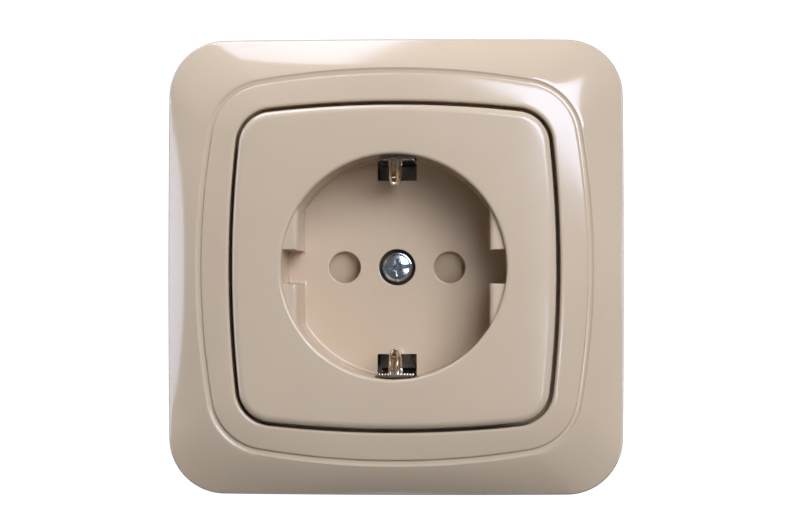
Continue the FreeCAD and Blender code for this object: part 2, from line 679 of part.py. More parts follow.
def claw():
    """The right-hand claw: a fork pivoted under the support plate, toothed at its far end."""
    pivot_x, pivot_y = CLAW_PIVOT
    z = CLAW_SCREW[1]
    profile = [
        (24.55, 2.6),
        (24.3, 14.5),
        (26.6, 20.5),
        (26.6, 24.5),
        (27.5, 24.5),
        (27.5, 20.2),
        (25.3, 14.2),
        (25.45, 2.6),
    ]
    plate = block(26.6, 27.5, 21.4, 24.5, z - CLAW_HALF_WIDTH, z + CLAW_HALF_WIDTH)
    pieces = []
    stub_end = CLAW_HALF_WIDTH + 0.3 + CLAW_EAR_THICK
    for way in (-1, 1):
        inner = z + way * CLAW_FORK_GAP
        outer = z + way * CLAW_HALF_WIDTH
        pieces.append(prism_z(profile, inner, outer))
        stub_from = at(pivot_x, pivot_y, inner)
        length = stub_end - CLAW_FORK_GAP
        pieces.append(Part.makeCylinder(CLAW_STUB_RADIUS, length, stub_from, at(0, 0, way)))
    for index in range(4):
        low = z - CLAW_HALF_WIDTH + index * CLAW_TOOTH_PITCH
        tooth = prism_z([(27.3, 23.2), (28.5, 24.5), (27.3, 24.5)], low + 0.2, low + 1.05)
        pieces.append(tooth)
    return plate.multiFuse(pieces)


def claw_nut():
    x, z = CLAW_SCREW
    half = NUT_SIDE / 2
    nut = block(x - half, x + half, NUT_FRONT, NUT_BACK, z - half, z + half)
    return nut.cut(rod(M3_THREAD_HOLE, 0, FAR, x, z))


def build():
    save("decor_frame", decor_frame())
    save("centre_plate", centre_plate())
    cover_screw = drive_screw(
        SCREW_HEAD_RADIUS, SCREW_HEAD_FRONT, SCREW_HEAD_BACK, SCREW_TIP, DRIVE_TILT
    )
    save("cover_screw", cover_screw)
    save("shutter", shutter())
    save("shutter_retainer", shutter_retainer())
    save("support_plate", support_plate())
    save("base_rivets", base_rivets())
    save("socket_base", socket_base())
    save("earth_strap", earth_strap())
    halves = ((-1, "left", "bottom", "live"), (1, "right", "top", "neutral"))
    for side, hand, height, pole in halves:
        save(f"shutter_spring_{hand}", shutter_spring(side))
        save(f"earth_contact_{height}", earth_contact(side))
        save(f"{pole}_contact", pin_contact(side))
        half_turn = 0 if side > 0 else 180
        save(f"claw_{hand}", turned(claw(), half_turn))
        save(f"claw_nut_{hand}", turned(claw_nut(), half_turn))
        back = -SUPPORT_THICK - 0.1
        claw_screw = drive_screw(
            CLAW_HEAD_RADIUS, back - SCREW_HEAD_HEIGHT, back, CLAW_SCREW_TIP, CLAW_SCREW_TILT, *CLAW_SCREW
        )
        save(f"claw_screw_{hand}", turned(claw_screw, half_turn))
    for index, (name, x, z, direction) in enumerate(terminal_places()):
        save(f"{name}_clamp", terminal_clamp(x, z, direction))
        back = CLAMP_FRONT - 0.1
        front = back - SCREW_HEAD_HEIGHT
        tilt = 17.0 * index
        screw = drive_screw(TERMINAL_HEAD, front, back, TERMINAL_SCREW_TIP, tilt, x, z)
        save(f"{name}_screw", screw)


build()
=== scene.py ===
"""Looks of the flush socket outlet: smooth mouldings, metal parts, studio light and camera.

Everything is in metres in the CAD frame: X right, Y into the wall, Z up, origin on the wall's surface.
"""

import json
import math

import bmesh
import bpy
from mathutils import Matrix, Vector


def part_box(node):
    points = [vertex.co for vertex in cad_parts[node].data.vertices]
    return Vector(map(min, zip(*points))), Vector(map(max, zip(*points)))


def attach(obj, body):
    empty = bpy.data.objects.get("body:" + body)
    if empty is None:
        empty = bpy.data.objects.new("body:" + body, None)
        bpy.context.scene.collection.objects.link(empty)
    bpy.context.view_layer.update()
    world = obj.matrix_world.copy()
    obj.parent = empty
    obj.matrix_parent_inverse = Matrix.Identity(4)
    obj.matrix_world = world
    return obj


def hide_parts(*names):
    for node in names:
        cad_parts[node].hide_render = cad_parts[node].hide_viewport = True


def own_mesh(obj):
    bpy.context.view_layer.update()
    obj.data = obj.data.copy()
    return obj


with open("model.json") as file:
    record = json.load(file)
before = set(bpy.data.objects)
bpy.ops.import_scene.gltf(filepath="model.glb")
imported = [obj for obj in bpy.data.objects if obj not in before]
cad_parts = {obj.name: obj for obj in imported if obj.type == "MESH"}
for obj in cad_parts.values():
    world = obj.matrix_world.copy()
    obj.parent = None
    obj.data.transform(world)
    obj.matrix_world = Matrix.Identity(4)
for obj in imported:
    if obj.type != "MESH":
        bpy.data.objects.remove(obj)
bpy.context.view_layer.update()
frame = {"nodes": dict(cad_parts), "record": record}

MM = 0.001
SIDES = (-1, 1)

# Sizes read from the frame
FRAME_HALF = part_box("decor_frame")[1].x
PLATE_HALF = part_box("centre_plate")[1].x
PLATE_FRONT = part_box("centre_plate")[0].y
SKIRT_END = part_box("centre_plate")[1].y
CONTACT_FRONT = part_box("earth_contact_top")[0].y
CONTACT_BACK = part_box("earth_contact_top")[1].y
CONTACT_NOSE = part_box("earth_contact_top")[0].z
RETAINER_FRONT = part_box("shutter_retainer")[0].y
RETAINER_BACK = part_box("shutter_retainer")[1].y
SHUTTER_LOW, SHUTTER_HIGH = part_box("shutter")

# Decorative frame
FRAME_CORNER = 10.0 * MM
STRAIGHT = 3.0  # a side radius that reads as straight
EDGE_HEIGHT = 2.0 * MM
EDGE_IN = 0.75 * MM
EDGE_RISE = 1.3 * MM
EDGE_SWEEP = 56  # degrees of rounding before the sloping band starts
GROOVE_HALF = 34.5 * MM
GROOVE_SIDE = 143.0 * MM
GROOVE_CORNER = 10.5 * MM
GROOVE_FLOOR = 7.25 * MM
GROOVE_OUTER = 7.45 * MM
GROOVE_INNER = 7.8 * MM
BAND_BOW = 0.35
OPENING_GAP = 0.7 * MM
OPENING_EDGE = 8.6 * MM
OPENING_ROUND = 0.5 * MM
LEDGE_FRONT = 3.2 * MM
LEDGE_BACK = 1.2 * MM
LEDGE_HALF = 26.6 * MM
COLLAR_HALF = 30.6 * MM
FRAME_WALL = 1.8 * MM
SHEET_HALF = 0.5 * MM  # half the thickness of the webs and ribs
WEB_X = 17.0 * MM
WEB_FRONT = -6.9 * MM
WEB_OUTER = 36.4 * MM
WEB_SLOPED_FRONT = -4.2 * MM

# Centre plate
PLATE_SIDE = 200.0 * MM
PLATE_CORNER = 6.0 * MM
PLATE_BACK = LEDGE_FRONT + 0.15 * MM
PLATE_EDGE_START = 8.7 * MM
PLATE_EDGE_IN = 1.4 * MM
PLATE_EDGE_RISE = 1.25 * MM
PLATE_WALL = 1.6 * MM
PLATE_INSIDE = 8.3 * MM
WELL_RADIUS = 19.75 * MM
TUBE_RADIUS = 21.25 * MM
MOUTH_ROUND = 0.55 * MM
SHOULDER_TOP = -9.0 * MM
SHOULDER_X = 16.8 * MM
SHOULDER_ROUND = 0.9 * MM
KEYWAY_HALF = 2.9 * MM
KEYWAY_ROUND = 0.3 * MM
FLOOR = 6.5 * MM
FLOOR_BACK = 7.8 * MM
FLOOR_FILLET = 0.45 * MM
WINDOW_HALF = 3.55 * MM
WINDOW_INNER = 15.7 * MM
WINDOW_FRONT = -7.6 * MM
WINDOW_OUTER = 23.0 * MM
PIN_X = 9.5 * MM
PIN_HOLE = 2.825 * MM
PIN_RIM = 0.25 * MM
COUNTERBORE = 3.275 * MM
HEAD_BACK = 8.85 * MM
SCREW_CLEARANCE = 1.6 * MM
BOSS_RADIUS = 4.4 * MM
BOSS_END = 10.6 * MM
RIB_X = 14.0 * MM
RIB_FRONT = -8.8 * MM
RIB_BACK = -4.6 * MM
RIB_OUTER = 27.3 * MM
PEG_X = 9.0 * MM
PEG_Z = 15.6 * MM
PEG_RADIUS = 1.1 * MM
PEG_HEAD = 1.6 * MM
PEG_HEAD_HEIGHT = 0.6 * MM
PEG_END = RETAINER_BACK + PEG_HEAD_HEIGHT
STOP_INNER = 14.9 * MM
STOP_OUTER = 19.0 * MM
STOP_HEIGHT = 1.2 * MM

# Screws
HEAD_HEIGHT = 2.0 * MM
HEAD_DOME = 0.19 * MM
HEAD_BEVEL = 0.4 * MM
HEAD_ROUND = 0.2 * MM
M3_RADIUS = 1.5 * MM
M3_CORE = 1.2 * MM
M3_PITCH = 0.5 * MM
TERMINAL_PITCH = 0.6 * MM
SLOT_HALF_LENGTH = 3.0 * MM  # past the head's edge, so the slot is open at both ends
COVER_SCREW_TILT = 6.7
CLAW_SCREW_TILT = 25.0
TERMINAL_SCREW_TILT = 17.0

# Earth contacts
CONTACT_LEAF = 19.0 * MM
BOW_END = 5.0 * MM
LEAF_HALF = 3.0 * MM
LEAF_THICK = 0.6 * MM
HEEL_HALF = 3.9 * MM
HEEL_HEIGHT = 0.9 * MM
BEAD_Y = 16.5 * MM
BEAD_RADIUS = 0.55 * MM
TOOTH_PITCH = 0.5 * MM
TOOTH_HALF = 0.13 * MM

# Shutter, its springs and the retainer
SPRING_X = 15.8 * MM
SPRING_Y = 10.5 * MM
SPRING_TOP = 9.5 * MM
SPRING_RADIUS = 1.05 * MM
SPRING_WIRE = 0.2 * MM
SPRING_TURNS = 9
LUG_TOP = -2.4 * MM
WING_INNER = 5.6 * MM
WING_OUTER = 13.4 * MM
BRIDGE_HALF = 6.0 * MM
BRIDGE_LOW = 5.2 * MM
RAMP_TOP = 3.3 * MM
RAMP_FOOT = 0.7 * MM
RETAINER_RADIUS = 19.4 * MM
RETAINER_BORE = 2.2 * MM
RETAINER_PIN_HOLE = 3.3 * MM
RETAINER_WINDOW = 4.4 * MM
RETAINER_WINDOW_FROM = 14.4 * MM
PEG_HOLE = 1.12 * MM
SMALL_ROUND = 0.12 * MM

PER_SIDE = 26
PER_CORNER = 22


def point(x, y, z):
    return Vector((x, y, z))


def pillow(half, side_radius, corner_radius, y):
    """A square outline whose bowed sides run tangent into round corners, clockwise from the top."""
    side_centre = half - side_radius
    reach = side_radius - corner_radius
    corner = (side_centre + math.sqrt(2 * reach**2 - side_centre**2)) / 2
    lean = math.atan2(corner, corner - side_centre)
    ring = []
    for quarter in range(4):
        turn = -quarter * math.pi / 2
        spin = (math.cos(turn), math.sin(turn))
        flat = []
        for step in range(PER_SIDE):
            angle = lean * (2 * step / PER_SIDE - 1)
            flat.append((side_radius * math.sin(angle), side_centre + side_radius * math.cos(angle)))
        for step in range(PER_CORNER):
            angle = lean + (math.pi / 2 - 2 * lean) * step / PER_CORNER
            x = corner + corner_radius * math.sin(angle)
            flat.append((x, corner + corner_radius * math.cos(angle)))
        for x, z in flat:
            ring.append(point(x * spin[0] - z * spin[1], y, x * spin[1] + z * spin[0]))
    return ring


def circle_like(ring, radius, y):
    """A circle whose points lie in the same directions as a ring's."""
    out = []
    for p in ring:
        length = math.hypot(p.x, p.z)
        out.append(point(p.x / length * radius, y, p.z / length * radius))
    return out


def circle(radius, y, x=0.0, z=0.0, count=96):
    ring = []
    for step in range(count):
        angle = 2 * math.pi * step / count
        ring.append(point(x + radius * math.sin(angle), y, z + radius * math.cos(angle)))
    return ring


def mesh_object(name, points, faces):
    mesh = bpy.data.meshes.new(name)
    mesh.from_pydata(points, [], faces)
    obj = bpy.data.objects.new(name, mesh)
    bpy.context.scene.collection.objects.link(obj)
    work = bmesh.new()
    work.from_mesh(mesh)
    bmesh.ops.remove_doubles(work, verts=work.verts, dist=1e-7)
    bmesh.ops.recalc_face_normals(work, faces=work.faces)
    work.to_mesh(mesh)
    work.free()
    return obj


def loft(name, rings, closed=False):
    """A solid through rings of equal length, capped at both ends or joined end to end."""
    count = len(rings[0])
    points = [p for ring in rings for p in ring]
    faces = []
    rows = len(rings) if closed else len(rings) - 1
    for row in range(rows):
        low = row * count
        high = (row + 1) % len(rings) * count
        for i in range(count):
            j = (i + 1) % count
            faces.append((low + i, low + j, high + j, high + i))
    if not closed:
        last = (len(rings) - 1) * count
        faces.append(tuple(reversed(range(count))))
        faces.append(tuple(range(last, last + count)))
    return mesh_object(name, points, faces)


def lathe(name, profile, x=0.0, z=0.0, count=96):
    """A solid turned about a line along Y, from (radius, y) pairs."""
    return loft(name, [circle(radius, y, x, z, count) for radius, y in profile])


def soft_box(name, low, high, radius=0.0, segments=2):
    """A box with rounded edges."""
    work = bmesh.new()
    bmesh.ops.create_cube(work, size=1.0)
    centre = (Vector(low) + Vector(high)) / 2
    size = Vector(high) - Vector(low)
    for v in work.verts:
        v.co = centre + Vector(v.co[i] * size[i] for i in range(3))
    if radius:
        bmesh.ops.bevel(
            work, geom=work.edges[:], offset=radius, segments=segments, affect="EDGES", profile=0.5
        )
    bmesh.ops.recalc_face_normals(work, faces=work.faces)
    mesh = bpy.data.meshes.new(name)
    work.to_mesh(mesh)
    work.free()
    obj = bpy.data.objects.new(name, mesh)
    bpy.context.scene.collection.objects.link(obj)
    return obj


def combine(target, others, operation):
    """Adds solids to a target, or cuts them out of it."""
    for other in others:
        modifier = target.modifiers.new("combine", "BOOLEAN")
        modifier.operation = operation
        modifier.solver = "MANIFOLD"
        modifier.object = other
    depsgraph = bpy.context.evaluated_depsgraph_get()
    result = bpy.data.meshes.new_from_object(target.evaluated_get(depsgraph))
    result.name = target.name
    target.modifiers.clear()
    target.data = result
    for other in others:
        bpy.data.objects.remove(other)
    return target


def finish_piece(obj, body, material, nodes, sharp=32):
    """Shades a piece, gives it its material, ties it to its body and hides the CAD nodes it stands in for.
    """
    for polygon in obj.data.polygons:
        polygon.use_smooth = True
    obj.data.set_sharp_from_angle(angle=math.radians(sharp))
    weighted = obj.modifiers.new("weighted", "WEIGHTED_NORMAL")
    weighted.keep_sharp = True
    weighted.weight = 60
    obj.data.materials.clear()
    obj.data.materials.append(material)
    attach(obj, body)
    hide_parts(*nodes)
    return obj


def sweep(steps, degrees=90):
    """Sine and one-minus-cosine pairs over part of a quarter turn."""
    for step in range(steps + 1):
        angle = math.radians(degrees) * step / steps
        yield math.sin(angle), 1 - math.cos(angle)


def mix(a, b, share):
    return a + (b - a) * share


def outer_band_rings():
    """The frame's rounded outer edge and the convex band that slopes up to the groove."""
    rings = [pillow(FRAME_HALF - 0.2 * MM, STRAIGHT, FRAME_CORNER, 0.0)]
    rings.append(pillow(FRAME_HALF, STRAIGHT, FRAME_CORNER, -0.2 * MM))
    for rise, inward in sweep(7, EDGE_SWEEP):
        inset = EDGE_IN * inward
        height = EDGE_HEIGHT + EDGE_RISE * rise
        rings.append(pillow(FRAME_HALF - inset, STRAIGHT, FRAME_CORNER - inset, -height))
    start = FRAME_HALF - inset
    end = GROOVE_HALF + 0.6 * MM
    steps = 14
    for step in range(1, steps + 1):
        share = step / steps
        bow = (1 - share) / STRAIGHT + share / GROOVE_SIDE
        corner = mix(FRAME_CORNER, GROOVE_CORNER + 0.6 * MM, share)
        climb = share + BAND_BOW * share * (1 - share)
        level = mix(height, GROOVE_OUTER, climb)
        rings.append(pillow(mix(start, end, share), 1 / bow, corner, -level))
    return rings


def groove_rings():
    """A soft outer lip, a narrow floor and a crisper inner lip."""
    profile = [
        (0.50, GROOVE_OUTER - 0.01 * MM),
        (0.40, GROOVE_OUTER - 0.07 * MM),
        (0.30, GROOVE_FLOOR + 0.04 * MM),
        (0.15, GROOVE_FLOOR),
        (-0.25, GROOVE_FLOOR),
        (-0.42, GROOVE_FLOOR + 0.05 * MM),
        (-0.50, GROOVE_FLOOR + 0.2 * MM),
        (-0.56, GROOVE_INNER - 0.14 * MM),
        (-0.66, GROOVE_INNER - 0.03 * MM),
        (-0.85, GROOVE_INNER + 0.04 * MM),
    ]
    rings = []
    for offset, height in profile:
        offset *= MM
        rings.append(pillow(GROOVE_HALF + offset, GROOVE_SIDE, GROOVE_CORNER + offset, -height))
    return rings


def inner_band_rings():
    """The gentle inner band, the opening's rounded edge and its wall down to the ledge."""
    opening = PLATE_HALF + OPENING_GAP
    corner = PLATE_CORNER + OPENING_GAP
    start = GROOVE_HALF - 0.85 * MM
    rings = []
    steps = 8
    for step in range(1, steps + 1):
        share = step / steps
        bow = (1 - share) / GROOVE_SIDE + share / PLATE_SIDE
        climb = share + 0.25 * share * (1 - share)
        height = mix(GROOVE_INNER + 0.04 * MM, OPENING_EDGE, climb)
        half = mix(start, opening + OPENING_ROUND, share)
        corner_here = mix(GROOVE_CORNER - 0.85 * MM, corner + OPENING_ROUND, share)
        rings.append(pillow(half, 1 / bow, corner_here, -height))
    for along, drop in sweep(6):
        inward = OPENING_ROUND * (1 - along)
        height = OPENING_EDGE - OPENING_ROUND * drop
        rings.append(pillow(opening + inward, PLATE_SIDE, corner + inward, -height))
    for height in (6.0, 4.5):
        rings.append(pillow(opening, PLATE_SIDE, corner, -height * MM))
    rings.append(pillow(opening, PLATE_SIDE, corner, -LEDGE_FRONT))
    return rings


def frame_back_rings():
    """The ledge under the plate's edge, the collar and the hollow behind the bands."""
    inner = FRAME_HALF - FRAME_WALL
    behind = [
        (LEDGE_HALF, PLATE_SIDE, 4.2, LEDGE_FRONT),
        (LEDGE_HALF, PLATE_SIDE, 4.2, LEDGE_BACK),
        (COLLAR_HALF, PLATE_SIDE, 8.0, LEDGE_BACK),
        (COLLAR_HALF, PLATE_SIDE, 8.0, 5.9 * MM),
        (COLLAR_HALF + 0.4 * MM, PLATE_SIDE, 8.2, 6.25 * MM),
        (COLLAR_HALF + 1.0 * MM, PLATE_SIDE, 8.4, 6.3 * MM),
        (33.4 * MM, GROOVE_SIDE, 8.7, 5.5 * MM),
        (inner - 1.4 * MM, STRAIGHT, 8.2, 3.0 * MM),
        (inner, STRAIGHT, 8.2, 1.6 * MM),
        (inner, STRAIGHT, 8.2, 0.2 * MM),
        (inner + 0.2 * MM, STRAIGHT, 8.4, 0.0),
    ]
    return [pillow(half, side, corner * MM, -height) for half, side, corner, height in behind]


def turned_box(name, low, high, quarter, radius=0.0):
    """A box in the upper quarter of the outlet, turned to one of its four sides."""
    obj = soft_box(name, low, high, radius)
    turn = quarter * math.pi / 2
    for v in obj.data.vertices:
        x, z = v.co.x, v.co.z
        v.co.x = x * math.cos(turn) + z * math.sin(turn)
        v.co.z = z * math.cos(turn) - x * math.sin(turn)
    return obj


def make_frame(material):
    """The decorative frame with its stiffening webs."""
    rings = outer_band_rings() + groove_rings() + inner_band_rings() + frame_back_rings()
    obj = loft("frame_moulding", rings, closed=True)
    webs = []
    for quarter in range(4):
        for offset in (-WEB_X, WEB_X):
            low = (offset - SHEET_HALF, WEB_FRONT, COLLAR_HALF - 0.6 * MM)
            high = (offset + SHEET_HALF, -LEDGE_BACK, WEB_OUTER)
            web = turned_box("web", low, high, quarter)
            for v in web.data.vertices:
                at_outer_end = max(abs(v.co.x), abs(v.co.z)) > WEB_OUTER - MM
                if at_outer_end and v.co.y < WEB_SLOPED_FRONT:
                    v.co.y = WEB_SLOPED_FRONT
            webs.append(web)
    combine(obj, webs, "UNION")
    return finish_piece(obj, "frame", material, ["decor_frame"])


def well_outline(radius, shoulder_x, keyway_half, y):
    """The well's outline: a circle with a flat shoulder at each side, split by a keyway."""
    flat_z = math.sqrt(radius**2 - shoulder_x**2)
    key_x = math.sqrt(radius**2 - keyway_half**2)
    half = []

    def arc(start, end, steps):
        for step in range(steps):
            angle = mix(start, end, step / steps)
            half.append((radius * math.sin(angle), radius * math.cos(angle)))

    def line(start, end, steps):
        for step in range(steps):
            share = step / steps
            half.append((mix(start[0], end[0], share), mix(start[1], end[1], share)))

    flat_angle = math.atan2(shoulder_x, flat_z)
    key_angle = math.atan2(key_x, keyway_half)
    arc(0.0, flat_angle, 40)
    line((shoulder_x, flat_z), (shoulder_x, keyway_half), 6)
    line((shoulder_x, keyway_half), (key_x, keyway_half), 4)
    arc(key_angle, math.pi - key_angle, 10)
    line((key_x, -keyway_half), (shoulder_x, -keyway_half), 4)
    line((shoulder_x, -keyway_half), (shoulder_x, -flat_z), 6)
    arc(math.pi - flat_angle, math.pi, 40)
    ring = [point(x, y, z) for x, z in half]
    return ring + [point(-p.x, y, -p.z) for p in ring]


def well_cutter():
    """What is cut out below the shoulders' tops, with rounded edges and the floor's fillet."""
    radius = WELL_RADIUS - 0.002 * MM
    grown = SHOULDER_X + SHOULDER_ROUND
    rings = [well_outline(radius, grown, KEYWAY_HALF + KEYWAY_ROUND, SHOULDER_TOP - 0.4 * MM)]
    for along, drop in sweep(7):
        shoulder = SHOULDER_X + SHOULDER_ROUND * (1 - along)
        keyway = KEYWAY_HALF + KEYWAY_ROUND * (1 - along)
        rings.append(well_outline(radius, shoulder, keyway, SHOULDER_TOP + SHOULDER_ROUND * drop))
    for along, drop in sweep(4):
        inset = FLOOR_FILLET * drop
        y = FLOOR - FLOOR_FILLET * (1 - along)
        rings.append(well_outline(radius - inset, SHOULDER_X - inset, KEYWAY_HALF - inset, y))
    return loft("well", rings)


def plate_rings():
    """The plate from the well over its face and down its edge, then back up inside and along the tube."""
    edge = pillow(PLATE_HALF, PLATE_SIDE, PLATE_CORNER, 0.0)
    rings = [circle_like(edge, WELL_RADIUS, SHOULDER_TOP)]
    for drop, along in sweep(6):
        grow = MOUTH_ROUND * along
        rings.append(circle_like(edge, WELL_RADIUS + grow, PLATE_FRONT + MOUTH_ROUND * (1 - drop)))
    mouth = WELL_RADIUS + MOUTH_ROUND
    rim_half = PLATE_HALF - PLATE_EDGE_IN
    rim_height = PLATE_EDGE_START + PLATE_EDGE_RISE
    steps = 12
    for step in range(1, steps):
        share = step / steps
        y = mix(PLATE_FRONT, -rim_height, share**2)
        outer = pillow(rim_half, PLATE_SIDE, PLATE_CORNER - PLATE_EDGE_IN, y)
        inner = circle_like(edge, mouth, y)
        rings.append([a.lerp(b, share) for a, b in zip(inner, outer)])
    edge_steps = 9
    for step in range(edge_steps + 1):
        angle = math.pi / 2 * (1 - step / edge_steps)
        inward = PLATE_EDGE_IN * (1 - math.cos(angle))
        y = -PLATE_EDGE_START - PLATE_EDGE_RISE * math.sin(angle)
        rings.append(pillow(PLATE_HALF - inward, PLATE_SIDE, PLATE_CORNER - inward, y))
    inner = PLATE_HALF - PLATE_WALL
    inner_corner = PLATE_CORNER - PLATE_WALL
    rings.append(pillow(PLATE_HALF, PLATE_SIDE, PLATE_CORNER, -6.0 * MM))
    rings.append(pillow(PLATE_HALF, PLATE_SIDE, PLATE_CORNER, -PLATE_BACK - 0.2 * MM))
    rings.append(pillow(PLATE_HALF - 0.2 * MM, PLATE_SIDE, PLATE_CORNER - 0.2 * MM, -PLATE_BACK))
    rings.append(pillow(inner, PLATE_SIDE, inner_corner, -PLATE_BACK))
    rings.append(pillow(inner, PLATE_SIDE, inner_corner, -PLATE_INSIDE + 0.5 * MM))
    rings.append(pillow(inner - 0.5 * MM, PLATE_SIDE, inner_corner - 0.5 * MM, -PLATE_INSIDE))
    rings.append(circle_like(edge, TUBE_RADIUS + 0.5 * MM, -PLATE_INSIDE))
    rings.append(circle_like(edge, TUBE_RADIUS, -PLATE_INSIDE + 0.5 * MM))
    rings.append(circle_like(edge, TUBE_RADIUS, SKIRT_END - 0.3 * MM))
    rings.append(circle_like(edge, TUBE_RADIUS - 0.3 * MM, SKIRT_END))
    rings.append(circle_like(edge, WELL_RADIUS + 0.2 * MM, SKIRT_END))
    rings.append(circle_like(edge, WELL_RADIUS, SKIRT_END - 0.2 * MM))
    rings.append(circle_like(edge, WELL_RADIUS, FLOOR_BACK))
    return rings


def plate_back_parts():
    """Ribs, retainer pegs, spring stops and the screw boss behind the plate."""
    parts = []
    for quarter in range(4):
        for offset in (-RIB_X, RIB_X):
            low = (offset - SHEET_HALF, RIB_FRONT, RIB_X)
            high = (offset + SHEET_HALF, RIB_BACK, RIB_OUTER)
            parts.append(turned_box("rib", low, high, quarter))
    for x in (-PEG_X, PEG_X):
        for z in (-PEG_Z, PEG_Z):
            profile = [
                (PEG_RADIUS, FLOOR_BACK - 0.2 * MM),
                (PEG_RADIUS, RETAINER_BACK),
                (PEG_HEAD - 0.1 * MM, RETAINER_BACK),
                (PEG_HEAD, RETAINER_BACK + 0.15 * MM),
                (PEG_HEAD - 0.25 * MM, PEG_END - 0.1 * MM),
                (PEG_HEAD - 0.7 * MM, PEG_END),
            ]
            parts.append(lathe("peg", profile, x, z, 32))
    for side in SIDES:
        ends = sorted((side * STOP_INNER, side * STOP_OUTER))
        low = (ends[0], FLOOR_BACK - 0.2 * MM, SPRING_TOP)
        high = (ends[1], SHUTTER_HIGH.y, SPRING_TOP + STOP_HEIGHT)
        parts.append(soft_box("stop", low, high, 0.15 * MM))
    boss = [
        (BOSS_RADIUS, FLOOR_BACK - 0.5 * MM),
        (BOSS_RADIUS, BOSS_END - 0.2 * MM),
        (BOSS_RADIUS - 0.2 * MM, BOSS_END),
    ]
    parts.append(lathe("boss", boss))
    return parts


def plate_cutters():
    """The well, its pin holes, screw hole and the two contact windows."""
    cutters = [well_cutter()]
    above = FLOOR - 1.0 * MM
    below = FLOOR_BACK + 3.0 * MM
    for side in SIDES:
        profile = [(PIN_HOLE + PIN_RIM, above), (PIN_HOLE + PIN_RIM, FLOOR)]
        for along, drop in sweep(5):
            profile.append((PIN_HOLE + PIN_RIM * (1 - along), FLOOR + PIN_RIM * drop))
        profile.append((PIN_HOLE, below))
        cutters.append(lathe("pin_hole", profile, side * PIN_X))
    chamfer = 0.22 * MM
    profile = [
        (COUNTERBORE + chamfer, above),
        (COUNTERBORE + chamfer, FLOOR),
        (COUNTERBORE + 0.3 * chamfer, FLOOR + 0.4 * chamfer),
        (COUNTERBORE, FLOOR + chamfer),
        (COUNTERBORE, HEAD_BACK + 0.1 * MM),
        (SCREW_CLEARANCE, HEAD_BACK + 0.1 * MM),
        (SCREW_CLEARANCE, below),
    ]
    cutters.append(lathe("screw_hole", profile))
    for side in SIDES:
        ends = sorted((side * WINDOW_INNER, side * WINDOW_OUTER))
        low = (-WINDOW_HALF, WINDOW_FRONT, ends[0])
        high = (WINDOW_HALF, SKIRT_END + 3.0 * MM, ends[1])
        cutters.append(soft_box("window", low, high, SMALL_ROUND))
    return cutters


def make_plate(material):
    """The centre plate with its well and everything moulded on its back."""
    obj = loft("plate_moulding", plate_rings())
    combine(obj, plate_back_parts(), "UNION")
    combine(obj, plate_cutters(), "DIFFERENCE")
    return finish_piece(obj, "cover", material, ["centre_plate"])


def thread_rings(radius, start, end, pitch, x, z, count):
    """Rings of a rod with a cut thread, running out to a plain core at both ends."""
    depth = 0.6 * pitch
    steps = round((end - start) / pitch * 6)
    rings = []
    for step in range(steps + 1):
        y = mix(start, end, step / steps)
        fade = min(1.0, (y - start) / pitch, (end - y) / pitch)
        ring = []
        for i in range(count):
            angle = 2 * math.pi * i / count
            phase = (y / pitch - i / count) % 1.0
            flank = min(1.0, max(0.0, 2.6 * abs(phase - 0.5) - 0.15))
            r = radius - depth * (1 - fade * (1 - flank))
            ring.append(point(x + r * math.sin(angle), y, z + r * math.cos(angle)))
        rings.append(ring)
    return rings


def slot_ring(half_length, half_width, corner, tilt, x, y, z):
    """A rectangle with rounded corners, turned about a line along Y."""
    ring = []
    corners = ((1, 1), (1, -1), (-1, -1), (-1, 1))
    for index, (way_x, way_z) in enumerate(corners):
        for step in range(6):
            angle = math.pi / 2 * (index + step / 5)
            u = way_x * (half_length - corner) + corner * math.sin(angle)
            v = way_z * (half_width - corner) + corner * math.cos(angle)
            turned_x = u * math.cos(tilt) - v * math.sin(tilt)
            turned_z = u * math.sin(tilt) + v * math.cos(tilt)
            ring.append(point(x + turned_x, y, z + turned_z))
    return ring


def drive_cutter(half_length, half_width, depth, face, tilt, x, z):
    """One arm pair of a screw's recess: a broken edge, then walls that lean in towards the bottom."""
    edge = 0.07 * MM
    corner = 0.16 * MM
    profile = [(-0.3 * MM, edge), (0.0, edge), (edge, 0.0), (depth, -0.13 * MM)]
    rings = []
    for below, grow in profile:
        round_here = corner + max(grow, 0)
        length_here = half_length + grow
        rings.append(slot_ring(length_here, half_width + grow, round_here, tilt, x, face + below, z))
    return loft("recess", rings)


